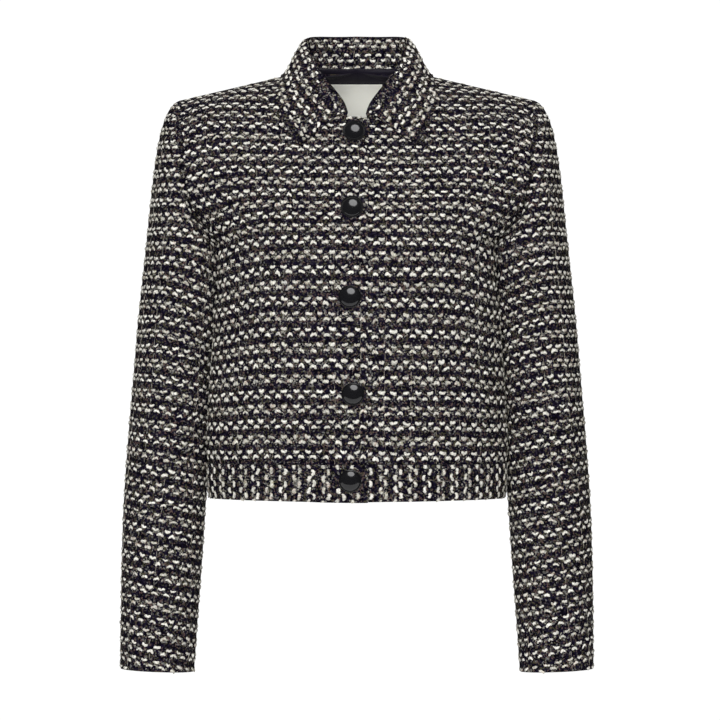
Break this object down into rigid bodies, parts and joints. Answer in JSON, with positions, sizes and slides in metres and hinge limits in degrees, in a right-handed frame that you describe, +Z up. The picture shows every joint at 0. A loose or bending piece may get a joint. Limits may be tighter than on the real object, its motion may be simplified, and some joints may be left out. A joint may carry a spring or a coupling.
{
  "type": "cropped tweed jacket",
  "caption": "Boxy cropped jacket of black and cream tweed with a shirt collar, hem band, long sleeves and domed black buttons, hollow as worn.",
  "frame": {"origin": "on the centre line, level with the neck side of the shoulders, between front and back, where a wearer's shoulders hold the jacket", "axes": "+Z up, -Y towards the front, +X towards the wearer's left"},
  "size_m": [0.508, 0.2388, 0.6875],
  "materials": {
    "tweed": "rough woven wool",
    "band_tweed": "rough woven wool, weave turned a quarter",
    "lining": "smooth satin",
    "label": "fine woven ribbon",
    "button": "polished"
  },
  "bodies": {
    "root": {"front_right": "tweed", "front_left": "tweed", "back": "tweed", "sleeve_top_right": "tweed", "sleeve_under_right": "tweed", "sleeve_top_left": "tweed", "sleeve_under_left": "tweed", "collar": "tweed", "band_right": "band_tweed", "band_left": "band_tweed", "band_back": "band_tweed", "neck_lining": "lining", "neck_label": "label", "button_1": "button", "button_2": "button", "button_3": "button", "button_4": "button", "button_5": "button"}
  },
  "joints": []
}
